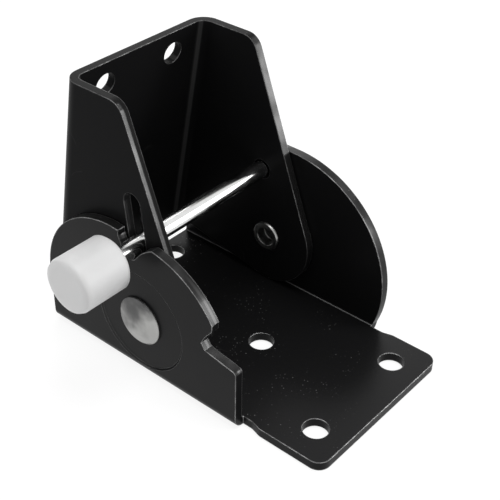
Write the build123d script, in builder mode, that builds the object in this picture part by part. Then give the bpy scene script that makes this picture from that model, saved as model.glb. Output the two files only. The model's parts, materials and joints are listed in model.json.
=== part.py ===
"""Folding leg bracket: folded base, leg channel on two rivets, spring-loaded lock rod with a knob.

Frame: millimetres, Z up. X points to the front tongue, Y to the plain cheek. The origin is on the
underside of the base, below the rivet axis and midway between the cheeks. The outlines of the cheeks
and of the leg's flanges are drawn on planes through the rivet axis, so their numbers count from it.
"""
from build123d import *
from math import acos, asin, atan2, cos, degrees, hypot, radians, sin, tan
import os

os.makedirs("parts", exist_ok=True)

# Sheet metal
sheet = 2.2  # base bracket
bend_in = 0.5  # inside radius of the base's bends
bend_out = bend_in + sheet
leg_sheet = 2.0  # leg channel
leg_bend_in = 2.4  # inside radius of the leg's bends
leg_bend_out = leg_bend_in + leg_sheet

# Base bracket
base_w = 48.8  # over the cheeks
rear_x = -29.9  # rear edge of plate and cheeks
near_front_x = 28.2  # front edge of the notched cheek
front_x = 50.1  # front edge of the tongue
tongue_w = 44.8
tongue_corner_r = 3.0
relief_r = 2.5  # soft steps from the bend reliefs out to the tongue
pivot_rise = 13.1  # rivet axis above the plate
screw_r = 3.0  # screw holes in the plate
screw_gauge = 28.6  # across the front pair of screw holes
rear_gauge = 24.4  # across the rear pair
front_screw_x = 42.4
centre_screw_x = 15.2
rear_screw_x = -25.4
hump_r = 22.2  # rear shoulder of the notched cheek
dome_r = 24.7  # rear shoulder of the plain cheek, and its height
dome_front_r = 27.9  # its front edge, down to the plate
dome_front_x = 5.4  # where that edge leaves the level top
saddle_r = 22.9  # edge of the notched cheek between the notches
saddle_c = (2.0, -1.5)
pad_r = 12.4  # pressed pad round each rivet
pad_flare = 0.45  # its sloped wall
pad_h = 0.35

# Leg channel
lean = 10.2  # degrees, top towards the front
face_gap = 0.08  # flange to pressed pad
leg_top = 51.4  # above the rivet axis
leg_back_top_x = -22.6  # outside of the back wall at its top
leg_back_low = -7.1  # lower edge of the back wall, from the rivet axis
flange_end_r = 12.75  # round lower end of each flange
flange_taper = 20.4  # degrees, front edge of each flange
flange_corner_r = 4.0
leg_screw_r = 2.75
leg_screw_gauge = 21.0
leg_screw_drop = 5.3  # below the top edge

# Lock rod and knob
fold_deg = 84.5  # how far the leg folds
rod_r = 2.1
rod_seat = 18.6  # rod axis from the rivet axis, locked
rod_lean = 6.5  # degrees behind upright, the line of the slots
rod_path_d = 28.6  # the rod's axis keeps to a circle of this diameter through the rivet axis
rod_clear = 0.3  # rod to the edges it passes
slot_clear = 0.4  # rod to the sides of its slot
rod_end_gap = 0.15  # rod's far end to the far flange
knob_r = 6.4
knob_len = 12.5
knob_stand = 5.4  # knob to the cheek's outside
knob_hold = 9.0  # rod inside the knob
knob_edge = 1.2
notch_lip = 3.3  # rear wall of the first notch, behind the rod's axis
notch_back = 2.9  # second notch runs this far in behind the rod's axis
notch_drop = 0.5  # its floor lies this far below the rod's path
floor_slope = 10.0  # degrees, floor of the second notch down to the front
front_corner_r = 1.2

# Rivets and spring
shank_r = 3.2
pivot_clear = 0.08  # shank to the flange's hole
head_r = 6.0
head_h = 1.6
head_crown = 0.6  # fall of the head from its middle to its rim
roll_r = 3.9
roll_h = 0.6
tube_r = 2.4
tail_len = 3.2  # near rivet's tail past the flange, for the spring
wire_r = 0.45
coil_r = 2.45
loop_clear = 0.25
coil_gap = 0.25  # coil to the flange
coil_from = 6.0
coil_to = 13.2

# Derived places
half_w = base_w / 2
cheek_in = half_w - sheet
pad_in = cheek_in - pad_h
flange_out = pad_in - face_gap
flange_in = flange_out - leg_sheet
bend_y = cheek_in - bend_in  # the plate is flat inside this
pivot_z = sheet + pivot_rise
foot = -pivot_z - 2  # below the underside, from the rivet axis
dome_front_v = dome_r - dome_front_r  # centre of the plain cheek's front edge
dome_foot_a = asin((pivot_rise + dome_front_v) / dome_front_r)  # the edge ends this far below its centre
far_front_x = dome_front_x + dome_front_r * cos(dome_foot_a)  # foot of that edge
rod_a = radians(-rod_lean)
fold_peak = acos(rod_seat / rod_path_d)  # fold at which the rod stands highest
path_r = rod_path_d / 2
path_a = rod_a + fold_peak
path_c = (path_r * sin(path_a), path_r * cos(path_a))
edge_r = path_r - rod_r - rod_clear  # the cheek stays inside this circle between the notches
seat_1 = (rod_seat * sin(rod_a), rod_seat * cos(rod_a))
fold_a = rod_a + radians(fold_deg)
rod_fold = rod_path_d * cos(radians(fold_deg) - fold_peak)
seat_2 = (rod_fold * sin(fold_a), rod_fold * cos(fold_a))
notch_r = rod_r + rod_clear
rod_x = seat_1[0]
rod_z = pivot_z + seat_1[1]
spring_y = -(flange_in - coil_gap - coil_r)


def side_plane(y):
    """Plane at y that faces the knob's side, drawn in X and Z from the rivet axis."""
    return Plane(origin=(0, y, pivot_z), x_dir=(1, 0, 0), z_dir=(0, -1, 0))


pivot_axis = Axis((0, 0, pivot_z), (0, 1, 0))
pivot_plan = Plane(origin=(0, 0, pivot_z), x_dir=(1, 0, 0), z_dir=(0, 0, 1))

# Base bracket: a bent strip with its cheeks trimmed to outline, then the front tongue
with BuildPart() as base_bracket:
    strip_h = pivot_z + dome_r + 2
    with BuildSketch(Plane.YZ.offset(rear_x)):
        with Locations((0, strip_h / 2)):
            Rectangle(base_w, strip_h)
        with Locations((0, sheet + strip_h / 2)):
            Rectangle(2 * cheek_in, strip_h, mode=Mode.SUBTRACT)
        outer = [v for v in vertices() if abs(v.Y) < 1e-6]
        fillet(outer, bend_out)
        inner = [v for v in vertices() if abs(v.Y - sheet) < 1e-6]
        fillet(inner, bend_in)
    extrude(amount=dome_front_x + dome_front_r - rear_x)

    # Notched cheek: rear hump, saddle edge, front corner
    hump_x = rear_x + hump_r
    with BuildSketch(side_plane(-bend_y)):
        Rectangle(160, 120)
        with BuildLine():
            rise = Line((rear_x, foot), (rear_x, 0))
            CenterArc((hump_x, 0), hump_r, 180, -90)
            Line((hump_x, hump_r), (saddle_c[0], saddle_c[1] + saddle_r))
            saddle = CenterArc(saddle_c, saddle_r, 90, -62)
            tip = saddle @ 1
            Polyline(tip, (near_front_x, tip.Y), (near_front_x, foot), rise @ 0)
        make_face(mode=Mode.SUBTRACT)
    extrude(amount=bend_out + 2, mode=Mode.SUBTRACT)

    # Room for the rod on its way from the first notch, past its upright rear wall, to the second
    lip_x = seat_1[0] - notch_lip
    lip_low = (lip_x, seat_1[1] + rod_r)
    lip_high = (lip_x, path_c[1] + 2 * rod_path_d)
    rays = [rod_a - fold_peak + radians(fold_deg * k / 3) for k in range(2, 7)]
    with BuildSketch(side_plane(-bend_y)):
        with BuildLine():
            reach = [(path_c[0] + 2 * rod_path_d * sin(a), path_c[1] + 2 * rod_path_d * cos(a)) for a in rays]
            Polyline(path_c, seat_1, lip_low, lip_high, *reach, path_c)
        make_face()
        with Locations(path_c):
            Circle(edge_r, mode=Mode.SUBTRACT)
        with Locations(seat_1, seat_2):
            Circle(notch_r)
    extrude(amount=bend_out + 2, mode=Mode.SUBTRACT)

    # First notch's rear corner, and the second notch with its sloped floor
    floor_e = (cos(radians(floor_slope)), -sin(radians(floor_slope)))
    floor_d = notch_r + notch_drop
    floor_0 = (seat_2[0] + floor_d * floor_e[1], seat_2[1] - floor_d * floor_e[0])
    notch_2 = (floor_0[0] - notch_back * floor_e[0], floor_0[1] - notch_back * floor_e[1])
    past_x = near_front_x + sheet
    floor_end = (past_x, floor_0[1] + floor_e[1] * (past_x - floor_0[0]) / floor_e[0])
    with BuildSketch(side_plane(-bend_y)):
        with BuildLine():
            Polyline(seat_1, (seat_1[0] - notch_r, seat_1[1]), lip_low, seat_1)
        make_face()
        with BuildLine():
            Polyline(
                notch_2,
                (notch_2[0] - rod_r / 2, notch_2[1] + rod_r * 0.7),
                (notch_2[0], notch_2[1] + rod_r * 1.7),
                (seat_2[0] - rod_r / 3, seat_2[1] + notch_r + rod_r),
                (seat_2[0] + notch_r, seat_2[1] + 2 * notch_r + rod_r),
                (past_x, seat_2[1] + 2 * notch_r + rod_r),
                floor_end,
                notch_2,
            )
        make_face()
    extrude(amount=bend_out + 2, mode=Mode.SUBTRACT)

    # Plain cheek: a rear shoulder, a level top and one long arc down to the plate
    with BuildSketch(side_plane(half_w + 2)):
        Rectangle(160, 120)
        with BuildLine():
            rise = Line((rear_x, foot), (rear_x, 0))
            CenterArc((rear_x + dome_r, 0), dome_r, 180, -90)
            Line((rear_x + dome_r, dome_r), (dome_front_x, dome_r))
            brow = CenterArc((dome_front_x, dome_front_v), dome_front_r, 90, -90 - degrees(dome_foot_a))
            Polyline(brow @ 1, (far_front_x, foot), rise @ 0)
        make_face(mode=Mode.SUBTRACT)
    extrude(amount=bend_out + 2, mode=Mode.SUBTRACT)

    # Tongue, its flanks starting past the bend reliefs
    near_relief = near_front_x + 2.6
    far_relief = far_front_x + 3.4
    with BuildSketch():
        with BuildLine():
            Polyline(
                (0, -bend_y),
                (near_relief, -bend_y),
                (near_relief + relief_r, -tongue_w / 2),
                (front_x, -tongue_w / 2),
                (front_x, tongue_w / 2),
                (far_relief + relief_r, tongue_w / 2),
                (far_relief, bend_y),
                (0, bend_y),
                (0, -bend_y),
            )
        make_face()
        steps = [v for v in vertices() if near_front_x < v.X < front_x - 1e-6]
        fillet(steps, relief_r)
        fillet(vertices().sort_by(Axis.X)[-2:], tongue_corner_r)
    extrude(amount=sheet)

    # Screw holes in the plate
    with BuildSketch():
        with Locations((front_screw_x, 0)):
            with GridLocations(0, screw_gauge, 1, 2):
                Circle(screw_r)
        with Locations((rear_screw_x, 0)):
            with GridLocations(0, rear_gauge, 1, 2):
                Circle(screw_r)
        with Locations((centre_screw_x, 0)):
            Circle(screw_r)
    extrude(amount=sheet, mode=Mode.SUBTRACT)

    # Pads pressed inwards round the rivets: a dish outside, a raised face inside
    for side in (-1, 1):
        with BuildSketch(pivot_plan):
            with BuildLine():
                Polyline(
                    (0, side * half_w),
                    (pad_r + pad_flare, side * half_w),
                    (pad_r, side * (half_w - pad_h)),
                    (0, side * (half_w - pad_h)),
                    (0, side * half_w),
                )
            make_face()
        revolve(axis=pivot_axis, mode=Mode.SUBTRACT)
        with BuildSketch(pivot_plan):
            with BuildLine():
                Polyline(
                    (0, side * cheek_in),
                    (pad_r, side * cheek_in),
                    (pad_r - pad_flare, side * pad_in),
                    (0, side * pad_in),
                    (0, side * cheek_in),
                )
            make_face()
        revolve(axis=pivot_axis)
    with BuildSketch(side_plane(0)):
        Circle(shank_r)
    extrude(amount=half_w + 1, both=True, mode=Mode.SUBTRACT)

    # Rounded front corner of the notched cheek
    corner_z = pivot_z + floor_0[1] + floor_e[1] * (near_front_x - floor_0[0]) / floor_e[0]
    across = edges().filter_by(Axis.Y).sort_by_distance((near_front_x, -half_w + sheet / 2, corner_z))
    fillet(across[0], front_corner_r)

base_bracket.part.label = "base_bracket"
export_step(base_bracket.part, "parts/base_bracket.step")


# Leg channel: a leaning back wall and two tapered flanges
def back_x(v):
    """Outside of the back wall at height v from the rivet axis."""
    return leg_back_top_x - (leg_top - v) * tan(radians(lean))


taper = radians(flange_taper)
flange_front = ((flange_end_r - leg_top * sin(taper)) / cos(taper), leg_top)
flange_low = (back_x(leg_back_low), leg_back_low)
low_a = degrees(atan2(flange_low[1], flange_low[0]) + acos(flange_end_r / hypot(*flange_low)))
lean_dir = Vector(sin(radians(lean)), 0, cos(radians(lean)))

with BuildPart() as leg_channel:
    with BuildSketch(side_plane(0)):
        with BuildLine():
            end = CenterArc((0, 0), flange_end_r, flange_taper, low_a - flange_taper)
            Polyline(end @ 1, flange_low, (back_x(leg_top), leg_top), flange_front, end @ 0)
        make_face()
        fillet(vertices().sort_by_distance((flange_front[0], leg_top, 0))[0], flange_corner_r)
    extrude(amount=flange_out, both=True)

    wall = leg_sheet / cos(radians(lean))
    with BuildSketch(side_plane(0)):
        with BuildLine():
            Polyline(
                (back_x(leg_top + 10) + wall, leg_top + 10),
                (back_x(-40) + wall, -40),
                (60, -40),
                (60, leg_top + 10),
                (back_x(leg_top + 10) + wall, leg_top + 10),
            )
        make_face()
    extrude(amount=flange_in, both=True, mode=Mode.SUBTRACT)

    rising = [e for e in edges() if abs((e % 0.5).dot(lean_dir)) > 0.9999 and e.length > 20]
    fillet([e for e in rising if abs(abs((e @ 0.5).Y) - flange_out) < 1e-3], leg_bend_out)
    rising = [e for e in edges() if abs((e % 0.5).dot(lean_dir)) > 0.9999 and e.length > 20]
    fillet([e for e in rising if abs(abs((e @ 0.5).Y) - flange_in) < 1e-3], leg_bend_in)

    # Slot that guides the rod in the near flange, the rod's hole in the far one, and the rivet holes
    mid = (rod_seat + rod_path_d) / 2
    with BuildSketch(side_plane(0)):
        with Locations((mid * sin(rod_a), mid * cos(rod_a))):
            SlotCenterToCenter(rod_path_d - rod_seat, 2 * (rod_r + slot_clear), rotation=90 + rod_lean)
    extrude(amount=flange_out + 1, mode=Mode.SUBTRACT)
    with BuildSketch(side_plane(flange_out + 1)):
        with Locations(seat_1):
            Circle(rod_r + slot_clear)
    extrude(amount=leg_sheet + 2, mode=Mode.SUBTRACT)
    with BuildSketch(side_plane(0)):
        Circle(shank_r + pivot_clear)
    extrude(amount=flange_out + 1, both=True, mode=Mode.SUBTRACT)

    # Screw holes near the top of the back wall
    screw_v = leg_top - leg_screw_drop
    back_plane = Plane(
        origin=(back_x(screw_v), 0, pivot_z + screw_v),
        x_dir=(0, 1, 0),
        z_dir=(-cos(radians(lean)), 0, sin(radians(lean))),
    )
    with BuildSketch(back_plane):
        with GridLocations(leg_screw_gauge, 0, 2, 1):
            Circle(leg_screw_r)
    extrude(amount=2 * leg_sheet, both=True, mode=Mode.SUBTRACT)

leg_channel.part.label = "leg_channel"
export_step(leg_channel.part, "parts/leg_channel.step")

# Lock rod through the near slot, up to the far flange
rod_far = flange_in - rod_end_gap
rod_near = -(half_w + knob_stand + knob_hold)
with BuildPart() as lock_rod:
    with BuildSketch(side_plane(rod_far)):
        with Locations(seat_1):
            Circle(rod_r)
    extrude(amount=rod_far - rod_near)

lock_rod.part.label = "lock_rod"
export_step(lock_rod.part, "parts/lock_rod.step")

# Knob: a plain round cap pushed onto the rod, its outer rim eased in two steps
knob_from = -(half_w + knob_stand)
knob_to = knob_from - knob_len
with BuildPart() as knob:
    with BuildSketch(Plane(origin=(rod_x, 0, rod_z), x_dir=(1, 0, 0), z_dir=(0, 0, 1))):
        with BuildLine():
            Polyline(
                (0, knob_from),
                (knob_r - knob_edge / 2, knob_from),
                (knob_r, knob_from - knob_edge / 2),
                (knob_r, knob_to + knob_edge),
                (knob_r - knob_edge * 0.3, knob_to + knob_edge * 0.3),
                (knob_r - knob_edge, knob_to),
                (0, knob_to),
                (0, knob_from),
            )
        make_face()
    revolve(axis=Axis((rod_x, 0, rod_z), (0, 1, 0)))
    with BuildSketch(side_plane(knob_from)):
        with Locations(seat_1):
            Circle(rod_r)
    extrude(amount=knob_hold, mode=Mode.SUBTRACT)

knob.part.label = "knob"
export_step(knob.part, "parts/knob.step")


def rivet_profile(side, tail):
    """Half section of a tubular rivet: head in the dish, shank, and a rolled end past the flange."""
    seat = half_w - pad_h
    roll = flange_in - face_gap - tail
    pts = [
        (0, seat + head_h),
        (head_r * 0.55, seat + head_h - head_crown * 0.25),
        (head_r * 0.9, seat + head_h - head_crown),
        (head_r, seat + head_h / 3),
        (head_r, seat),
        (shank_r, seat),
        (shank_r, roll),
        (roll_r, roll),
        (roll_r - roll_h / 2, roll - roll_h),
        (tube_r, roll - roll_h),
        (tube_r, seat - sheet),
        (0, seat - sheet),
        (0, seat + head_h),
    ]
    return [(x, side * y) for x, y in pts]


# Rivet on the knob's side, with a longer tail for the spring's loop
with BuildPart() as rivet_near:
    with BuildSketch(pivot_plan):
        with BuildLine():
            Polyline(*rivet_profile(-1, tail_len))
        make_face()
    revolve(axis=pivot_axis)

rivet_near.part.label = "rivet_near"
export_step(rivet_near.part, "parts/rivet_near.step")

# Rivet on the plain side
with BuildPart() as rivet_far:
    with BuildSketch(pivot_plan):
        with BuildLine():
            Polyline(*rivet_profile(1, 0))
        make_face()
    revolve(axis=pivot_axis)

rivet_far.part.label = "rivet_far"
export_step(rivet_far.part, "parts/rivet_far.step")

# Tension spring beside the near flange, from the near rivet's tail up to the rod
spring_up = (sin(rod_a), 0, cos(rod_a))
spring_plane = Plane(origin=(0, spring_y, pivot_z), x_dir=(cos(rod_a), 0, -sin(rod_a)), z_dir=(0, -1, 0))
low_loop = shank_r + loop_clear + wire_r
top_loop = rod_r + loop_clear + wire_r
turns = round((coil_to - coil_from) / (2 * wire_r))
pitch = (coil_to - coil_from) / turns
with BuildPart() as spring:
    with BuildSketch(spring_plane):
        with BuildLine():
            wave = []
            for k in range(turns):
                wave += [(coil_r - wire_r, coil_from + k * pitch), (coil_r, coil_from + (k + 0.5) * pitch)]
            wave += [(coil_r - wire_r, coil_to)]
            Polyline((0, coil_from), *wave, (0, coil_to), (0, coil_from))
        make_face()
    revolve(axis=Axis((0, spring_y, pivot_z), spring_up))
    top_reach = rod_seat - top_loop - coil_to + wire_r
    for at, reach in ((low_loop, coil_from - low_loop + wire_r), (coil_to - wire_r, top_reach)):
        foot_at = (at * spring_up[0], spring_y, pivot_z + at * spring_up[2])
        with BuildSketch(Plane(origin=foot_at, x_dir=(0, 1, 0), z_dir=spring_up)):
            Circle(wire_r)
        extrude(amount=reach)
    with BuildSketch(pivot_plan):
        with Locations((low_loop, spring_y)):
            RegularPolygon(wire_r, 6)
    revolve(axis=pivot_axis)
    with BuildSketch(Plane(origin=(rod_x, 0, rod_z), x_dir=(1, 0, 0), z_dir=(0, 0, 1))):
        with Locations((top_loop, spring_y)):
            RegularPolygon(wire_r, 6)
    revolve(axis=Axis((rod_x, 0, rod_z), (0, 1, 0)))

spring.part.label = "spring"
export_step(spring.part, "parts/spring.step")
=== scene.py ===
# %% [markdown]
# # A folding leg bracket, dressed in Blender
# The solids of this bracket come from a CAD model and are already the right size and in the right place.
# This lesson gives them the finishes of the real thing: a black coating on folded sheet steel, a bright
# lock rod, dull zinc rivets, a white plastic knob and a small wound spring. Around them come the camera,
# the floor and the light. All lengths are in metres, because Blender and the CAD model share one frame.

import json
import math

import bmesh
import bpy
from mathutils import Matrix, Vector


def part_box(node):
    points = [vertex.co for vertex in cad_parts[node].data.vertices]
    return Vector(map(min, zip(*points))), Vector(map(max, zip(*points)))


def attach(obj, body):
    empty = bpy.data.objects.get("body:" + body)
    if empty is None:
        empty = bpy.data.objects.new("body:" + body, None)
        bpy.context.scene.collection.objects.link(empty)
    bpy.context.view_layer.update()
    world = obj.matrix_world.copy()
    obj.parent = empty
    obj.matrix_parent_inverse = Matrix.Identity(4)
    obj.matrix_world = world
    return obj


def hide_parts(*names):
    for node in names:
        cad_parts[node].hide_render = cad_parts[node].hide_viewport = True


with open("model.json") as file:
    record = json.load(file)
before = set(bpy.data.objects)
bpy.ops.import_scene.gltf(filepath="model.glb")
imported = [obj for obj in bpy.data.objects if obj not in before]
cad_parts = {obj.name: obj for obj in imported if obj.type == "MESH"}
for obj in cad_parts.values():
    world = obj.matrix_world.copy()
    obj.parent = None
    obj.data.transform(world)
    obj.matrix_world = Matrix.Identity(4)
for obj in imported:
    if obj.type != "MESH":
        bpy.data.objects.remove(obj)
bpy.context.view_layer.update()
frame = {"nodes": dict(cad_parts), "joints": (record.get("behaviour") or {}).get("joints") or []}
nodes = frame["nodes"]
joints = {joint["name"]: joint for joint in frame["joints"]}
rivet_axis = Vector(joints["fold"]["pos_m"])  # a point on it, in the middle of the bracket
scene = bpy.context.scene
scene.view_settings.view_transform = "Standard"
print("pieces from the CAD model:", sorted(nodes))

# %% [markdown]
# ## The camera
# The photograph looks down on the bracket from the front, past the knob. A camera could be turned by hand
# until the picture fits. Here the view was worked out from the straight edges of the base plate, so the
# camera is built from what a photographer would name: the direction it stands in, its height angle, its
# place and its lens. A small roll levels the plate.

# %% Camera
Z_AXIS = Vector((0, 0, 1))
VIEW_AZIMUTH = math.radians(-50.206)  # measured from +X
VIEW_HEIGHT = math.radians(35.898)
VIEW_ROLL = math.radians(1.028)
CAMERA_AT = Vector((0.13658, -0.15054, 0.16873))
LENS_MM = 77.39
SENSOR_MM = 36.0
SEES_FROM = 0.01  # what is nearer or further than these isn't drawn
SEES_TO = 100.0

back = Vector(
    (
        math.cos(VIEW_HEIGHT) * math.cos(VIEW_AZIMUTH),
        math.cos(VIEW_HEIGHT) * math.sin(VIEW_AZIMUTH),
        math.sin(VIEW_HEIGHT),
    )
)
level_right = Z_AXIS.cross(back).normalized()
level_up = back.cross(level_right)
right = math.cos(VIEW_ROLL) * level_right + math.sin(VIEW_ROLL) * level_up
up = back.cross(right)

camera_data = bpy.data.cameras.new("camera")
camera_data.lens = LENS_MM
camera_data.sensor_width = SENSOR_MM
camera_data.clip_start = SEES_FROM
camera_data.clip_end = SEES_TO
camera = bpy.data.objects.new("camera", camera_data)
scene.collection.objects.link(camera)
turn = Matrix((right, up, back)).transposed().to_4x4()
camera.matrix_world = Matrix.Translation(CAMERA_AT) @ turn
scene.camera = camera
print("camera stands", round(CAMERA_AT.length, 3), "m from the origin")

# %% [markdown]
# ## Helpers for shader nodes
# A material is a small graph of nodes. Every node could be made, placed and linked by lines of its own, but
# then the idea is lost among the links. Here one helper adds a node and feeds its inputs, each from another
# node or with a plain value. Another stands the nodes in columns, so that a graph reads from left to right
# in the node editor.

# %% Nodes and links
COLUMN_WIDTH = 240  # in the node editor's own units
ROW_HEIGHT = 300


def feed(tree, socket, value):
    """Links an input to another node's output, or writes a plain value into it."""
    if isinstance(value, bpy.types.NodeSocket):
        tree.links.new(value, socket)
    else:
        socket.default_value = value


def add(tree, kind, **values):
    """Adds a node; each keyword sets a property, or else feeds the input of that name."""
    node = tree.nodes.new(kind)
    for key, value in values.items():
        if hasattr(node, key):
            setattr(node, key, value)
        else:
            feed(tree, node.inputs[key.replace("_", " ")], value)
    return node


def lay_out(tree):
    """Stands each node in a column to the right of the nodes that feed it."""
    column = {node.name: 0 for node in tree.nodes}
    for _ in tree.nodes:
        for link in tree.links:
            after = column[link.from_node.name] + 1
            column[link.to_node.name] = max(column[link.to_node.name], after)
    rows = {}
    for name, place in column.items():
        rows[place] = rows.get(place, 0) + 1
        tree.nodes[name].location = (COLUMN_WIDTH * place, -ROW_HEIGHT * rows[place])


print("node helpers ready")

# %% [markdown]
# ## Sums on masks
# Most effects are masks: numbers from 0 to 1 that say where on the surface something shows. Ramps sharpen
# them, and a product keeps what lies in all of several masks. A node could be added by hand for each sum.
# These helpers add it and give back its result, so the cells below read as sums.


# %% Sums on masks
def maths(tree, operation, *values):
    """Does one sum on sockets or numbers."""
    node = add(tree, "ShaderNodeMath", operation=operation)
    for socket, value in zip(node.inputs, values):
        feed(tree, socket, value)
    return node.outputs["Value"]


def product(tree, mask, *others):
    """Multiplies masks, which keeps what lies in all of them."""
    for other in others:
        mask = maths(tree, "MULTIPLY", mask, other)
    return mask


def ramp(tree, value, span=(0.0, 1.0), to=(0.0, 1.0)):
    """Stretches one span of values to another, smoothly and clamped; a span may run downwards."""
    node = add(
        tree,
        "ShaderNodeMapRange",
        interpolation_type="SMOOTHSTEP",
        Value=value,
        From_Min=span[0],
        From_Max=span[1],
        To_Min=to[0],
        To_Max=to[1],
    )
    return node.outputs["Result"]


print("mask helpers ready")

# %% [markdown]
# ## Patterns and directions
# The masks start from noise, from the way the surface faces or from where it lies, and they end as a choice
# between two colours or numbers. Here too each helper stands for one node. The Mix node keeps the inputs for
# numbers and for colours side by side under the same names, so its helper picks them by their position.

# %% Patterns and directions
MIX_SOCKETS = {"FLOAT": (2, 3, 0), "RGBA": (6, 7, 2)}  # positions of the inputs A and B and of the result


def blend(tree, kind, mask, below, above):
    """Gives below where the mask is 0 and above where it is 1; kind is FLOAT or RGBA."""
    node = add(tree, "ShaderNodeMix", data_type=kind)
    first, second, result = MIX_SOCKETS[kind]
    for index, value in ((0, mask), (first, below), (second, above)):
        feed(tree, node.inputs[index], value)
    return node.outputs[result]


def noise(tree, place, **values):
    """A cloudy pattern, mostly near a half."""
    return add(tree, "ShaderNodeTexNoise", Vector=place, **values).outputs["Fac"]


def dot(tree, way, other):
    """How far two directions agree: 1 for the same way, 0 for square, -1 for opposite."""
    node = add(tree, "ShaderNodeVectorMath", operation="DOT_PRODUCT")
    feed(tree, node.inputs[0], way)
    feed(tree, node.inputs[1], other)
    return node.outputs["Value"]


def split(tree, vector):
    """The X, Y and Z of a place or a direction."""
    return add(tree, "ShaderNodeSeparateXYZ", Vector=vector).outputs


print("pattern helpers ready")

# %% [markdown]
# ## Node groups
# Several finishes share an effect, such as rounded edges or an uneven skin. Copying its nodes into every
# material would work, but a change would then have to be made in each. A node group is built once, has
# named inputs and outputs, and is placed in a material with values of its own.

# %% Node groups
NUMBER = "NodeSocketFloat"
DIRECTION = "NodeSocketVector"


def new_group(name, inputs, outputs):
    """Starts a group with number inputs and the given outputs; gives it back with what comes in."""
    group = bpy.data.node_groups.new(name, "ShaderNodeTree")
    for title, default in inputs.items():
        socket = group.interface.new_socket(name=title, in_out="INPUT", socket_type=NUMBER)
        socket.default_value = default
    for title, kind in outputs.items():
        group.interface.new_socket(name=title, in_out="OUTPUT", socket_type=kind)
    return group, add(group, "NodeGroupInput").outputs


def put_out(group, **results):
    """Ends a group: the results go to its outputs, and its nodes are laid out."""
    add(group, "NodeGroupOutput", **results)
    lay_out(group)
    print("group", group.name, "has", len(group.nodes), "nodes")


def use_group(tree, group, **values):
    """Places a group in a material, sets its inputs and gives back its outputs."""
    return add(tree, "ShaderNodeGroup", node_tree=group, **values).outputs


print("group helpers ready")

# %% [markdown]
# ## Edge light
# A coating is rounded over every cut edge, so the edge catches a line of light. The edges could be bevelled
# in the mesh, but the CAD meshes stay as they are. A Bevel node gives the rounded normal instead, and where
# that differs from the flat normal, there is an edge. A noise breaks the line up, as wear does.

# %% Edge light
EDGE_R = 0.0004
EDGE_COSINES = (0.985, 0.87)  # rounded against flat normal, where an edge starts and where it is full
WORN_LEVELS = (0.35, 0.65)  # the noise at which the line is weakest and at which it is whole

edge_light, given = new_group(
    "edge_light", {"Radius": EDGE_R, "Break up": 0.5}, {"Edge": NUMBER, "Normal": DIRECTION}
)
rounded = add(edge_light, "ShaderNodeBevel", samples=6, Radius=given["Radius"]).outputs["Normal"]
flat = add(edge_light, "ShaderNodeNewGeometry").outputs["Normal"]
edge = ramp(edge_light, dot(edge_light, rounded, flat), EDGE_COSINES)
place = add(edge_light, "ShaderNodeTexCoord").outputs["Object"]
wear = noise(edge_light, place, Scale=420.0, Detail=3.0, Roughness=0.6)
patches = ramp(edge_light, wear, WORN_LEVELS)
broken = blend(edge_light, "FLOAT", given["Break up"], 1.0, patches)
put_out(edge_light, Edge=product(edge_light, edge, broken), Normal=rounded)

# %% [markdown]
# ## Dust
# Pale specks of uneven strength lie on the faces that look up, drifted together here and there. Specks could
# be scattered as tiny pieces, but a texture costs less. Voronoi cells give one round speck each, the cell's
# random colour decides how strong it is, and a broad noise makes the drifts.

# %% Dust
SPECK_SPAN = (0.24, 0.08)  # distances in a cell, where its speck starts and where it is full
CHANCE_SPAN = (0.45, 1.0)  # cells with a lower number have no speck
DRIFT_LEVELS = (0.48, 0.70)  # the noise at which a drift starts and at which it is full
FACING_UP = (0.2, 0.9)  # upward part of the normal, from too steep to level enough

dust, given = new_group("dust", {"Scale": 2600.0, "Amount": 0.5}, {"Specks": NUMBER})
surface = add(dust, "ShaderNodeTexCoord").outputs
cells = add(
    dust, "ShaderNodeTexVoronoi", feature="F1", Vector=surface["Object"], Scale=given["Scale"]
).outputs
speck = ramp(dust, cells["Distance"], SPECK_SPAN)
chance = add(dust, "ShaderNodeSeparateColor", Color=cells["Color"]).outputs["Red"]
chosen = ramp(dust, chance, CHANCE_SPAN)
drift = ramp(dust, noise(dust, surface["Object"], Scale=95.0, Detail=4.0), DRIFT_LEVELS)
upward = ramp(dust, split(dust, surface["Normal"])["Z"], FACING_UP)
put_out(dust, Specks=product(dust, speck, chosen, drift, upward, given["Amount"]))

# %% [markdown]
# ## Scuffs
# Handling leaves sparse curved hairlines in a coating. They could be painted, but then they belong to one
# mesh. The contour lines of a warped noise are thin, curved and fit any piece, and a second noise leaves
# them in a few regions only.

# %% Scuffs
CONTOUR = 0.5  # the level of the noise that is drawn as a line
HAIR_SPAN = (0.006, 0.001)  # off that level, where a line starts and where it is full
REGION_LEVELS = (0.60, 0.70)  # the second noise, where lines start to show and where they show fully

scuffs, given = new_group("scuffs", {"Scale": 60.0, "Amount": 0.5}, {"Lines": NUMBER})
place = add(scuffs, "ShaderNodeTexCoord").outputs["Object"]
field = noise(scuffs, place, Scale=given["Scale"], Detail=1.0, Roughness=0.3, Distortion=0.6)
off_line = maths(scuffs, "ABSOLUTE", maths(scuffs, "SUBTRACT", field, CONTOUR))
hair = ramp(scuffs, off_line, HAIR_SPAN)
region = ramp(scuffs, noise(scuffs, place, Scale=130.0, Detail=2.0), REGION_LEVELS)
put_out(scuffs, Lines=product(scuffs, hair, region, given["Amount"]))

# %% [markdown]
# ## Ripple
# Paint, plating and moulded plastic are never quite even. Modelling that would take a very fine mesh, so a
# height made of a fine grain and a broad swell is used as a bump.

# %% Ripple
SWELL_SHARE = 0.6  # the rest is grain

ripple, given = new_group("ripple", {"Fine": 1400.0, "Broad": 140.0}, {"Height": NUMBER})
place = add(ripple, "ShaderNodeTexCoord").outputs["Object"]
grain = noise(ripple, place, Scale=given["Fine"], Detail=2.0)
swell = noise(ripple, place, Scale=given["Broad"], Detail=1.0)
put_out(ripple, Height=blend(ripple, "FLOAT", SWELL_SHARE, grain, swell))

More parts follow.
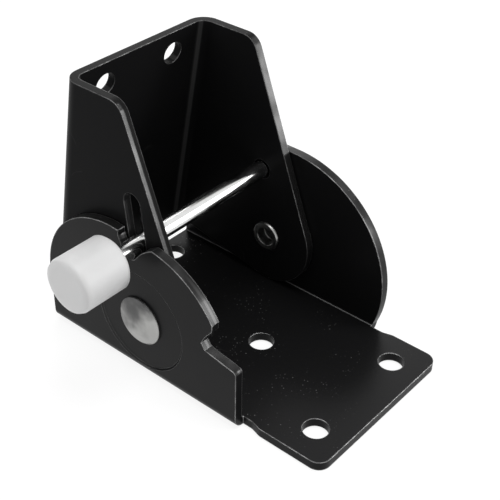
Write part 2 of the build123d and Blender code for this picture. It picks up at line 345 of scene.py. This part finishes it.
# %% [markdown]
# ## Rims of the sheet
# The base and the leg channel are cut from sheet steel and folded. The coating is thin on the cut rims, so
# they look grey. The rims could be picked face by face, but a CAD mesh is many loose triangles. This mask
# finds them from the surface: a rim faces along the sheet, never across it. A cheek or flange faces along Y,
# the back wall leans by a known angle, and the plate lies low, so what is left is rim.

# %% Rims of the sheet
BACK_WALL_LEAN = math.radians(10.2)
BACK_WALL_FACES = (-math.cos(BACK_WALL_LEAN), 0, math.sin(BACK_WALL_LEAN))
PLATE_AND_BEND = 0.0030  # the plate and its bends end below this, from the underside
PLATE_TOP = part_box("base_bracket")[0][2] + PLATE_AND_BEND
RIM_SIDEWAYS = (0.45, 0.25)  # sideways part of the normal, from a bend to a rim
RIM_OFF_WALL = (0.98, 0.93)  # agreement with the back wall's direction, from the wall to a rim

cut_rim, given = new_group("cut_rim", {"Height": PLATE_TOP}, {"Rim": NUMBER})
surface = add(cut_rim, "ShaderNodeTexCoord").outputs
sideways = maths(cut_rim, "ABSOLUTE", split(cut_rim, surface["Normal"])["Y"])
along_sheet = ramp(cut_rim, sideways, RIM_SIDEWAYS)
like_wall = maths(cut_rim, "ABSOLUTE", dot(cut_rim, surface["Normal"], BACK_WALL_FACES))
not_wall = ramp(cut_rim, like_wall, RIM_OFF_WALL)
raised = maths(cut_rim, "GREATER_THAN", split(cut_rim, surface["Object"])["Z"], given["Height"])
put_out(cut_rim, Rim=product(cut_rim, along_sheet, not_wall, raised))

# %% [markdown]
# ## Bright land of the shear
# Where a rim slopes to the front, the shear has left a smooth, bright land: on the leg the outer part of the
# near flange's rim and nearly all of the far one's, and on the base a narrow strip. Cutting the strip into
# the mesh would change a CAD piece, so a mask takes what looks forward and lies between two distances from
# the middle of the bracket.

# %% Bright land of the shear
LAND_OFF_MIDDLE = 0.0005  # the distances count from a plane this far to the knob's side
LAND_FADE = (-0.0002, 0.0002)  # a land's sides fade over this
LAND_FORWARD = (0.40, 0.65)  # forward part of the normal, from too level to steep enough
LEG_LAND = (0.0204, 0.0300)  # the second number lies outside the sheet, so the land reaches the edge
BASE_LAND = (0.0222, 0.0230)

shear_land, given = new_group("shear_land", {"Start": LEG_LAND[0], "Stop": LEG_LAND[1]}, {"Land": NUMBER})
surface = add(shear_land, "ShaderNodeTexCoord").outputs
forward = ramp(shear_land, split(shear_land, surface["Normal"])["X"], LAND_FORWARD)
aside = maths(shear_land, "ADD", split(shear_land, surface["Object"])["Y"], LAND_OFF_MIDDLE)
distance = maths(shear_land, "ABSOLUTE", aside)
past_start = ramp(shear_land, maths(shear_land, "SUBTRACT", distance, given["Start"]), LAND_FADE)
before_stop = ramp(shear_land, maths(shear_land, "SUBTRACT", given["Stop"], distance), LAND_FADE)
put_out(shear_land, Land=product(shear_land, forward, product(shear_land, past_start, before_stop)))

# %% [markdown]
# ## Bends of the sheet
# At its bends the coating is painted a little paler: a painted highlight for the light that the rounded
# bends catch. A bend faces in between the two flat sides that it joins, so the mask takes what looks partly
# sideways. A least rise leaves out the bends that look too far down.

# %% Bends of the sheet
BEND_STARTS = (0.20, 0.45)  # sideways part of the normal, as the sheet turns out of the plate or the wall
BEND_ENDS = (0.78, 0.66)  # and as it turns into the cheek or the flange

bends, given = new_group("bends", {"Least rise": 0.0}, {"Bend": NUMBER})
facing = split(bends, add(bends, "ShaderNodeTexCoord").outputs["Normal"])
sideways = maths(bends, "ABSOLUTE", facing["Y"])
past_wall = ramp(bends, sideways, BEND_STARTS)
before_side = ramp(bends, sideways, BEND_ENDS)
rising = maths(bends, "GREATER_THAN", facing["Z"], given["Least rise"])
put_out(bends, Bend=product(bends, past_wall, before_side, rising))

# %% [markdown]
# ## Dirt, painted light and painted shade round the rivets
# Round the rivets lie matt grime in the sloped wall of the pressed dish, painted light on the low rear part
# of that wall, the side of the step that faces the light, and painted shade in the rivets' hollow ends. Each
# lies at a known distance from the rivet axis, so that distance makes the masks. The distance from the middle
# of the bracket tells the dish, on a cheek's outside, from the hollow end inside.

# %% Dirt, painted light and painted shade round the rivets
DISH_R = 0.0126  # middle of the dish's sloped wall
DISH_FADE = (0.0005, 0.0002)  # distances off that middle, where the grime starts and where it is full
HOLLOW_R = 0.0024  # hollow end of a rivet
HOLLOW_FADE = 0.0003
CHEEK_MIDDLE = 0.0230  # about halfway through a cheek
LOW_REAR = (-0.7, 0, -0.7)  # a direction from the axis
LOW_REAR_SPAN = (0.2, 0.9)  # agreement with that direction, where the painted light starts and where it is full

rivet_grime_and_painted_shading, given = new_group(
    "rivet_grime_and_painted_shading", {"Height": rivet_axis.z}, {"Ring": NUMBER, "Low ring": NUMBER, "Hollow": NUMBER}
)
spot = split(rivet_grime_and_painted_shading, add(rivet_grime_and_painted_shading, "ShaderNodeTexCoord").outputs["Object"])
rise = maths(rivet_grime_and_painted_shading, "SUBTRACT", spot["Z"], given["Height"])
from_axis = add(rivet_grime_and_painted_shading, "ShaderNodeCombineXYZ", X=spot["X"], Z=rise).outputs["Vector"]
away = add(rivet_grime_and_painted_shading, "ShaderNodeVectorMath", operation="LENGTH", Vector=from_axis).outputs["Value"]
way = add(rivet_grime_and_painted_shading, "ShaderNodeVectorMath", operation="NORMALIZE", Vector=from_axis).outputs["Vector"]
off_wall = maths(rivet_grime_and_painted_shading, "ABSOLUTE", maths(rivet_grime_and_painted_shading, "SUBTRACT", away, DISH_R))
lower = ramp(rivet_grime_and_painted_shading, dot(rivet_grime_and_painted_shading, way, LOW_REAR), LOW_REAR_SPAN)
sideways = maths(rivet_grime_and_painted_shading, "ABSOLUTE", spot["Y"])
outside = maths(rivet_grime_and_painted_shading, "GREATER_THAN", sideways, CHEEK_MIDDLE)
inside = maths(rivet_grime_and_painted_shading, "LESS_THAN", sideways, CHEEK_MIDDLE)
ring = product(rivet_grime_and_painted_shading, ramp(rivet_grime_and_painted_shading, off_wall, DISH_FADE), outside)
bore = ramp(rivet_grime_and_painted_shading, away, (HOLLOW_R, HOLLOW_R - HOLLOW_FADE))
put_out(
    rivet_grime_and_painted_shading,
    Ring=ring,
    # painted light on the low rear of the dish wall
    Low_ring=product(rivet_grime_and_painted_shading, ring, lower),
    # painted shade in the hollow ends of the rivets
    Hollow=product(rivet_grime_and_painted_shading, bore, inside),
)

# %% [markdown]
# ## Starting a material
# Every finish below starts from the Principled shader, which takes a colour, a roughness and so on, and ends
# by feeding that shader. One helper does the start, one the end, and a third writes a neutral colour.


# %% Starting a material
def new_material(name):
    """A material with a Principled shader, ready to be wired."""
    material = bpy.data.materials.new(name)
    material.use_nodes = True
    return material, material.node_tree, material.node_tree.nodes["Principled BSDF"]


def wire_up(tree, last, **values):
    """Ends a graph: feeds the named inputs of its last node and lays the nodes out."""
    for key, value in values.items():
        feed(tree, last.inputs[key.replace("_", " ")], value)
    lay_out(tree)


def grey(level):
    """A colour without a hue."""
    return (level, level, level, 1.0)


print("material helpers ready")

# %% [markdown]
# ## Gloss of the rims
# The punch leaves the cut rims glossy in patches, and the bright land most of all. A second, glossier rim
# material would show a hard border. A clear coat over the black, as strong as the patches, fades in and out
# as the real gloss does.

# %% Gloss of the rims
NOISE_SPAN = (0.3, 0.7)  # most of a noise's values lie in it
PATCH_LEVELS = (0.38, 0.72)  # the noise at which a rim is dullest and at which it is glossiest
DULL_PATCH = 0.1  # the dullest patch of a rim, as a share of its gloss
DULL_LAND = 0.45  # the dullest patch of the bright land


def glossy_rim(tree, rim, gloss, land_span):
    """How strong the clear coat is: patches on a rim, and the bright land over them."""
    place = add(tree, "ShaderNodeTexCoord").outputs["Object"]
    burnish = noise(tree, place, Scale=150.0, Detail=2.0)
    patches = ramp(tree, burnish, PATCH_LEVELS, to=(DULL_PATCH * gloss, gloss))
    land = use_group(tree, shear_land, Start=land_span[0], Stop=land_span[1])["Land"]
    bright_land = product(tree, land, ramp(tree, burnish, NOISE_SPAN, to=(DULL_LAND, 1.0)))
    return product(tree, rim, maths(tree, "MAXIMUM", patches, bright_land))


print("rim gloss ready")

# %% [markdown]
# ## Black coating
# The coating is smooth, almost black straight on, and picks up a soft sheen. Greys are laid over it one by
# one: a painted highlight on the bends, rims, painted light on the low rear of each dish wall, worn edges,
# specks and hairlines. Bare metal shines along the edges, and the grime round the rivets is matt. A function
# takes up what the two sheets share, so that each needs only its own few values.

# %% Black coating
BLUER = 1.04  # the black leans a little to blue
RIM_GREY = 0.014
# painted light on the low rear of each dish wall
PAINTED_LIGHT_GREY = 0.05
SPECK_GREY = 0.34
HAIR_GREY = 0.03
COATING_ROUGHNESS = (0.32, 0.5)  # smooth, and along a hairline


def black_coating(name, tint, mirror, rim_gloss, land_span, edge_grey, bend_highlight_grey, least_rise):
    """The coating on one piece of sheet: its grey, mirroring, glossy rims, bare edges and painted highlights
    on the bends.
    """
    material, tree, shader = new_material(name)
    edge = use_group(tree, edge_light, Radius=EDGE_R, Break_up=0.45)
    bend = use_group(tree, bends, Least_rise=least_rise)["Bend"]
    rim = use_group(tree, cut_rim, Height=PLATE_TOP)["Rim"]
    grime_and_painted_light = use_group(tree, rivet_grime_and_painted_shading, Height=rivet_axis.z)
    specks = use_group(tree, dust, Scale=1500.0, Amount=0.9)["Specks"]
    hairs = use_group(tree, scuffs, Scale=55.0, Amount=0.5)["Lines"]
    skin = use_group(tree, ripple, Fine=1700.0, Broad=160.0)["Height"]

    colour = (tint, tint, tint * BLUER, 1.0)
    layers = (
        # a painted highlight on the bends
        (bend, bend_highlight_grey),
        (rim, RIM_GREY),
        # painted light on the low rear of each dish wall
        (grime_and_painted_light["Low ring"], PAINTED_LIGHT_GREY),
        (edge["Edge"], edge_grey),
        (specks, SPECK_GREY),
        (hairs, HAIR_GREY),
    )
    for mask, level in layers:
        colour = blend(tree, "RGBA", mask, colour, grey(level))
    worn = ramp(tree, hairs, to=COATING_ROUGHNESS)
    bump = add(tree, "ShaderNodeBump", Strength=0.12, Distance=0.0002, Height=skin, Normal=edge["Normal"])
    wire_up(
        tree,
        shader,
        Base_Color=colour,
        Metallic=edge["Edge"],
        Roughness=maths(tree, "MAXIMUM", worn, grime_and_painted_light["Ring"]),
        Specular_IOR_Level=mirror,
        Coat_Weight=glossy_rim(tree, rim, rim_gloss, land_span),
        Coat_Roughness=0.16,
        Coat_IOR=1.6,
        Normal=bump.outputs["Normal"],
    )
    return material


print("black coating ready")

# %% [markdown]
# ## Coatings of the base and the leg
# Both sheets are black, but not alike. The base mirrors more than the leg, its edges are worn paler, its
# bends carry a brighter painted highlight, and its rims have a gloss all along. On the leg only the bright
# land shines. One material for both would lose that, so each sheet gets a coating of its own.

# %% Coatings of the base and the leg
base_coat = black_coating(
    "base_coat",
    tint=0.0085,
    mirror=0.085,
    rim_gloss=0.6,
    land_span=BASE_LAND,
    edge_grey=0.36,
    bend_highlight_grey=0.20,
    least_rise=0.3,
)
leg_coat = black_coating(
    "leg_coat",
    tint=0.0105,
    mirror=0.02,
    rim_gloss=0.0,
    land_span=LEG_LAND,
    edge_grey=0.18,
    bend_highlight_grey=0.05,
    least_rise=-0.4,
)
print("black coatings made:", base_coat.name, leg_coat.name)

# %% [markdown]
# ## Bright rod
# The lock rod is drawn steel with bright plating. Drawing leaves very fine lines along the rod. They are far
# too fine to model, so a noise that is stretched along Y gives them as a bump. A cloud varies the tint and
# the roughness. The metal shows the pale studio as a strong highlight between dark flanks.

# %% Bright rod
DRAWN_OUT = (1, 0.03, 1)  # the noise is stretched along Y
PLATE_DARK = grey(0.60)
PLATE_PALE = (0.84, 0.84, 0.83, 1.0)
PLATE_ROUGHNESS = (0.10, 0.24)

bright_plate, tree, shader = new_material("bright_plate")
place = add(tree, "ShaderNodeTexCoord").outputs["Object"]
along = add(tree, "ShaderNodeMapping", Vector=place, Scale=DRAWN_OUT).outputs["Vector"]
drawn = noise(tree, along, Scale=2600.0, Detail=2.0)
cloud = noise(tree, place, Scale=160.0, Detail=4.0)
bump = add(tree, "ShaderNodeBump", Strength=0.15, Distance=0.00005, Height=drawn)
wire_up(
    tree,
    shader,
    Base_Color=blend(tree, "RGBA", cloud, PLATE_DARK, PLATE_PALE),
    Metallic=1.0,
    Roughness=ramp(tree, cloud, NOISE_SPAN, to=PLATE_ROUGHNESS),
    Normal=bump.outputs["Normal"],
)
print("finish made:", bright_plate.name)

# %% [markdown]
# ## Zinc rivets
# The rivets are zinc plated and closed in a press. They are dull, with darker, rougher smudges where the
# plating was handled, mostly on the upper rear side. A noise that grows to that side makes the smudges, and
# the same group as on the cheeks paints shade into the hollow ends.

# %% Zinc rivets
SMUDGE_GROWTH = (-30, 0, 30)  # per metre, to the upper rear
SMUDGE_LEVELS = (0.88, 1.22)  # noise and growth together, where a smudge starts and where it is full
ZINC = (0.37, 0.37, 0.36, 1.0)
SMUDGED_ZINC = grey(0.10)
# painted shade in the rivets' hollow ends
HOLLOW_SHADE = grey(0.02)
ZINC_ROUGHNESS = (0.30, 0.48)  # clean and smudged

dull_zinc, tree, shader = new_material("dull_zinc")
edge = use_group(tree, edge_light, Radius=EDGE_R)
skin = use_group(tree, ripple, Fine=1500.0, Broad=420.0)["Height"]
hollow = use_group(tree, rivet_grime_and_painted_shading, Height=rivet_axis.z)["Hollow"]
place = add(tree, "ShaderNodeTexCoord").outputs["Object"]
cloud = noise(tree, place, Scale=130.0, Detail=3.0, Roughness=0.5)
uneven = maths(tree, "ADD", cloud, dot(tree, place, SMUDGE_GROWTH))
smudge = ramp(tree, uneven, SMUDGE_LEVELS)
zinc = blend(tree, "RGBA", smudge, ZINC, SMUDGED_ZINC)
bump = add(tree, "ShaderNodeBump", Strength=0.25, Distance=0.0002, Height=skin, Normal=edge["Normal"])
wire_up(
    tree,
    shader,
    Base_Color=blend(tree, "RGBA", hollow, zinc, HOLLOW_SHADE),
    Metallic=1.0,
    Roughness=ramp(tree, smudge, to=ZINC_ROUGHNESS),
    Normal=bump.outputs["Normal"],
)
print("finish made:", dull_zinc.name)

# %% [markdown]
# ## White knob
# The knob is moulded in a milky white plastic. Light goes a little way in, which softens its shading. Plain
# white paint would look hard, so a short subsurface radius lets the light in, and a faint cloudiness and a
# fine bump keep it from looking painted. A wide edge radius rounds the eased rim.

# %% White knob
KNOB_EDGE_R = 0.0014
MILK_DARK = grey(0.76)
MILK_PALE = grey(0.83)
MILK_ROUGHNESS = (0.36, 0.46)

milky_plastic, tree, shader = new_material("milky_plastic")
skin = use_group(tree, ripple, Fine=1100.0, Broad=200.0)["Height"]
edge = use_group(tree, edge_light, Radius=KNOB_EDGE_R)
place = add(tree, "ShaderNodeTexCoord").outputs["Object"]
cloud = noise(tree, place, Scale=130.0, Detail=3.0)
bump = add(tree, "ShaderNodeBump", Strength=0.08, Distance=0.0002, Height=skin, Normal=edge["Normal"])
wire_up(
    tree,
    shader,
    Base_Color=blend(tree, "RGBA", cloud, MILK_DARK, MILK_PALE),
    Roughness=ramp(tree, cloud, NOISE_SPAN, to=MILK_ROUGHNESS),
    Subsurface_Weight=0.25,
    Subsurface_Radius=(1.0, 1.0, 1.0),
    Subsurface_Scale=0.002,
    Normal=bump.outputs["Normal"],
)
print("finish made:", milky_plastic.name)

# %% [markdown]
# ## Spring wire
# The spring is wound from grey spring steel. It is small and half hidden, so a mid-grey metal with a fine
# cloud of darker oil stains is enough.

# %% Spring wire
WIRE_STAINED = (0.30, 0.30, 0.31, 1.0)
WIRE_CLEAN = grey(0.55)

grey_wire, tree, shader = new_material("grey_wire")
place = add(tree, "ShaderNodeTexCoord").outputs["Object"]
stain = noise(tree, place, Scale=600.0, Detail=3.0)
skin = use_group(tree, ripple, Fine=4000.0, Broad=900.0)["Height"]
bump = add(tree, "ShaderNodeBump", Strength=0.1, Distance=0.0001, Height=skin)
wire_up(
    tree,
    shader,
    Base_Color=blend(tree, "RGBA", stain, WIRE_STAINED, WIRE_CLEAN),
    Metallic=1.0,
    Roughness=0.32,
    Normal=bump.outputs["Normal"],
)
print("finish made:", grey_wire.name)

# %% [markdown]
# ## Where the spring lies
# A small tension spring beside the near flange pulls the rod down. The CAD spring is a ribbed solid, which
# is enough for mass and motion, and here it becomes a wound wire. Its places could be typed in, but they
# are measured from the frame: the coil lies on the line from the rivet axis to the rod, and the rod keeps
# to a circle through the rivet axis, which tells how far out it stands once the leg is folded.

# %% Where the spring lies
spring_low, spring_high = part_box("spring")
rod_low, rod_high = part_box("lock_rod")
spring_y = (spring_low[1] + spring_high[1]) / 2
rivet_at = Vector((rivet_axis.x, spring_y, rivet_axis.z))
rod_at = Vector(((rod_low[0] + rod_high[0]) / 2, spring_y, (rod_low[2] + rod_high[2]) / 2))
along_spring = (rod_at - rivet_at).normalized()
rod_away = (rod_at - rivet_at).length

circle_d = 2 * (Vector(joints["lock_lift"]["pos_m"]) - rivet_axis).length
fold_end = math.radians(joints["fold"]["range_deg"][1])
rod_folded = circle_d * math.cos(fold_end - math.acos(rod_away / circle_d))
print("rod stands", round(rod_away, 4), "m out at rest and", round(rod_folded, 4), "m out folded")

# %% [markdown]
# ## The coil
# The coil is one wire, wound close. A curve with a round section could draw it too. Here a small disc is
# spun round the spring's axis while it climbs, which makes a closed mesh in one step. It is wound about Z
# from the origin, because that is simple, and leaned over to the rod later.

# %% Coil
Y_AXIS = Vector((0, 1, 0))
WIRE_R = 0.00045
WIRE_SIDES = 8
COIL_FROM = 0.0060  # along the spring, from the rivet axis
COIL_TO = 0.0132
COIL_STEPS = 24  # per turn


def wire_section(bm, at, faces_along, filled):
    """A round section of the wire at a point, filled or as a bare ring, ready to be spun."""
    turned = Z_AXIS.rotation_difference(faces_along).to_matrix().to_4x4()
    made = bmesh.ops.create_circle(
        bm, cap_ends=filled, segments=WIRE_SIDES, radius=WIRE_R, matrix=Matrix.Translation(at) @ turned
    )
    edges = dict.fromkeys(edge for vert in made["verts"] for edge in vert.link_edges)
    faces = dict.fromkeys(face for vert in made["verts"] for face in vert.link_faces)
    return [*made["verts"], *edges, *faces]


coil_mean_r = (spring_high[1] - spring_low[1]) / 2 - WIRE_R
first_turn = COIL_FROM + WIRE_R  # the wire's middle, at the coil's two ends
last_turn = COIL_TO - WIRE_R
turns = round((COIL_TO - COIL_FROM) / (2 * WIRE_R))
steps = turns * COIL_STEPS

spring_bm = bmesh.new()
bmesh.ops.spin(
    spring_bm,
    geom=wire_section(spring_bm, Vector((coil_mean_r, 0, first_turn)), Y_AXIS, filled=True),
    cent=(0, 0, 0),
    axis=Z_AXIS,
    dvec=(0, 0, (last_turn - first_turn) / steps),
    angle=2 * math.pi * turns,
    steps=steps,
)
print("coil has", turns, "turns")

# %% [markdown]
# ## Pins and bridges
# On the real spring the wire runs from the coil's ends in to the axis and on to the loops. A bent wire could
# be swept along that way. Short straight bars do the same here: a pin on the axis towards each loop, and a
# bridge from each pin out to the coil. Then everything so far is leaned over and moved to the rivet axis.

# %% Pins and bridges
RIVET_LOOP_R = 0.0039
ROD_LOOP_R = 0.0028


def wire_bar(bm, length, place):
    """A straight bar of the wire, made along Z about the origin and moved to its place."""
    bmesh.ops.create_cone(
        bm,
        cap_ends=True,
        segments=WIRE_SIDES,
        radius1=WIRE_R,
        radius2=WIRE_R,
        depth=length,
        matrix=place,
    )


pins = ((RIVET_LOOP_R, first_turn), (last_turn, rod_away - ROD_LOOP_R))
for start, stop in pins:
    wire_bar(spring_bm, stop - start, Matrix.Translation((0, 0, (start + stop) / 2)))
lying = Matrix.Rotation(math.pi / 2, 4, "Y")
for height in (first_turn, last_turn):
    wire_bar(spring_bm, coil_mean_r, Matrix.Translation((coil_mean_r / 2, 0, height)) @ lying)

lean_over = Z_AXIS.rotation_difference(along_spring).to_matrix().to_4x4()
bmesh.ops.transform(spring_bm, matrix=Matrix.Translation(rivet_at) @ lean_over, verts=spring_bm.verts)
print("coil, pins and bridges have", len(spring_bm.faces), "faces")

# %% [markdown]
# ## Loops
# A closed loop holds the rivet's tail and another the rod. Each is a ring of the wire, spun once round. The
# rod stands further out once the leg is folded, and this spring can't stretch, so the rod's loop is drawn
# out into a long eye that holds the rod at both ends of the fold: its upper half moves along the spring.

# %% Loops
LOOP_STEPS = 36


def wire_loop(bm, centre, loop_r):
    """A closed loop of the wire about Y; gives back its vertices."""
    before = set(bm.verts)
    start = centre + loop_r * Y_AXIS.cross(along_spring)
    bmesh.ops.spin(
        bm,
        geom=wire_section(bm, start, along_spring, filled=False),
        cent=centre,
        axis=Y_AXIS,
        angle=2 * math.pi,
        steps=LOOP_STEPS,
        use_merge=True,
    )
    return [vert for vert in bm.verts if vert not in before]


wire_loop(spring_bm, rivet_at, RIVET_LOOP_R)
rod_loop = wire_loop(spring_bm, rod_at, ROD_LOOP_R)
upper_half = [vert for vert in rod_loop if (vert.co - rod_at).dot(along_spring) > WIRE_R / 2]
bmesh.ops.translate(spring_bm, verts=upper_half, vec=(rod_folded - rod_away) * along_spring)
print("long eye is drawn out by", round(rod_folded - rod_away, 4), "m")

# %% [markdown]
# ## The finished spring
# A spin can turn a mesh inside out, so the normals are worked out again before the mesh becomes a piece. The
# piece rides on the leg, where the rivet's tail carries it, and takes the place of the CAD spring.

# %% Finished spring
bmesh.ops.recalc_face_normals(spring_bm, faces=spring_bm.faces)
for face in spring_bm.faces:
    face.smooth = True
spring_mesh = bpy.data.meshes.new("wound_spring")
spring_bm.to_mesh(spring_mesh)
spring_bm.free()
spring_mesh.materials.append(grey_wire)
wound_spring = bpy.data.objects.new("wound_spring", spring_mesh)
scene.collection.objects.link(wound_spring)
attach(wound_spring, "leg")
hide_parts("spring")
print("wound spring has", len(spring_mesh.polygons), "faces")

# %% [markdown]
# ## Finishes on the CAD pieces
# The other CAD pieces already have the shape of the real ones and keep their own meshes. Each one only gets
# its finish, through its material slots.

# %% Give each CAD piece its finish
finishes = {
    "base_bracket": base_coat,
    "leg_channel": leg_coat,
    "lock_rod": bright_plate,
    "knob": milky_plastic,
    "rivet_near": dull_zinc,
    "rivet_far": dull_zinc,
}
for name, finish in finishes.items():
    mesh = nodes[name].data
    mesh.materials.clear()
    mesh.materials.append(finish)
    print(name, "gets", finish.name)

# %% [markdown]
# ## Floor
# The photograph shows the bracket on plain white. Without a floor it would float, so it stands on a large
# flat one that takes its shadow. A grid of one face is enough.

# %% Floor
FLOOR_REACH = 3.0  # from the middle to each side
FLOOR_DROP = 0.0002  # keeps it clear of the base's underside

floor_bm = bmesh.new()
bmesh.ops.create_grid(floor_bm, x_segments=1, y_segments=1, size=FLOOR_REACH)
bmesh.ops.translate(floor_bm, verts=floor_bm.verts, vec=(0, 0, -FLOOR_DROP))
floor_mesh = bpy.data.meshes.new("floor")
floor_bm.to_mesh(floor_mesh)
floor_bm.free()
floor = bpy.data.objects.new("floor", floor_mesh)
scene.collection.objects.link(floor)
print("floor made,", 2 * FLOOR_REACH, "m wide")

# %% [markdown]
# ## White of the floor
# A floor that is lit until it is white would throw too much light back at the bracket. So its material asks
# what kind of ray meets it. To the camera and to reflections it glows almost white, and a share that only
# light gives lets the shadow show. To all other light it is pale paper.

# %% White of the floor
SHADOW_GREY = 0.25  # what light adds to the glow, and the shadow takes away
FLOOR_GLOW = 0.86
PAPER_GREY = 0.8


def seen_rays(tree):
    """1 for rays that look at something, straight, mirrored or through glass, and 0 for the others."""
    rays = add(tree, "ShaderNodeLightPath").outputs
    looks = maths(tree, "MAXIMUM", rays["Is Camera Ray"], rays["Is Glossy Ray"])
    return maths(tree, "MAXIMUM", looks, rays["Is Transmission Ray"])


pale_floor, tree, shader = new_material("pale_floor")
tree.nodes.remove(shader)
shadowed = add(tree, "ShaderNodeBsdfDiffuse", Color=grey(SHADOW_GREY))
glow = add(tree, "ShaderNodeEmission", Strength=FLOOR_GLOW)
paper = add(tree, "ShaderNodeBsdfDiffuse", Color=grey(PAPER_GREY))
white = add(tree, "ShaderNodeAddShader")
choose = add(tree, "ShaderNodeMixShader")
feed(tree, white.inputs[0], shadowed.outputs[0])
feed(tree, white.inputs[1], glow.outputs[0])
for socket, value in zip(choose.inputs, (seen_rays(tree), paper.outputs[0], white.outputs[0])):
    feed(tree, socket, value)
wire_up(tree, tree.nodes["Material Output"], Surface=choose.outputs[0])
floor_mesh.materials.append(pale_floor)
print("finish made:", pale_floor.name)

# %% [markdown]
# ## Sky
# Beyond the floor lies an even white, as the paper roll behind a product is. A sky as bright as that would
# light the bracket flat from all sides. By the same rays as on the floor, it is seen as white but gives only
# a part of that as light.

# %% Sky
SKY_LIGHT = 0.35
SKY_SEEN = 1.0

world = bpy.data.worlds.new("studio")
scene.world = world
world.use_nodes = True
tree = world.node_tree
strength = ramp(tree, seen_rays(tree), to=(SKY_LIGHT, SKY_SEEN))
wire_up(tree, tree.nodes["Background"], Color=grey(1.0), Strength=strength)
print("sky made, light", SKY_LIGHT)

# %% [markdown]
# ## Lamps
# Small products are lit by soft boxes, and so is this one. A sun would throw hard shadows. Area lamps do what
# soft boxes do: a big one overhead, a weaker one on the knob's side, a tall one off the tongue that lights
# up the sheet's rims, and one behind the leg that the tongue mirrors.

# %% Lamps
AIM_AT = Vector((0.005, -0.005, 0.025))  # the middle of the bracket


def soft_box(name, at, wide, tall, watts):
    """An area lamp that points at the middle of the bracket."""
    lamp = bpy.data.lights.new(name, "AREA")
    lamp.shape = "RECTANGLE"
    lamp.size = wide
    lamp.size_y = tall
    lamp.energy = watts
    box = bpy.data.objects.new(name, lamp)
    scene.collection.objects.link(box)
    box.rotation_mode = "QUATERNION"
    box.rotation_quaternion = (AIM_AT - Vector(at)).to_track_quat("-Z", "Y")
    box.location = at
    print("lamp", name, "gives", watts, "W")


soft_box("overhead", at=(0.12, 0.05, 0.75), wide=0.4, tall=0.4, watts=2.3)
soft_box("knob_side", at=(-0.25, -0.6, 0.35), wide=0.45, tall=0.45, watts=0.8)
soft_box("tongue_side", at=(0.56, 0.46, 0.22), wide=0.26, tall=0.46, watts=1.75)
soft_box("behind", at=(-0.45, 0.55, 0.52), wide=0.45, tall=0.45, watts=1.35)
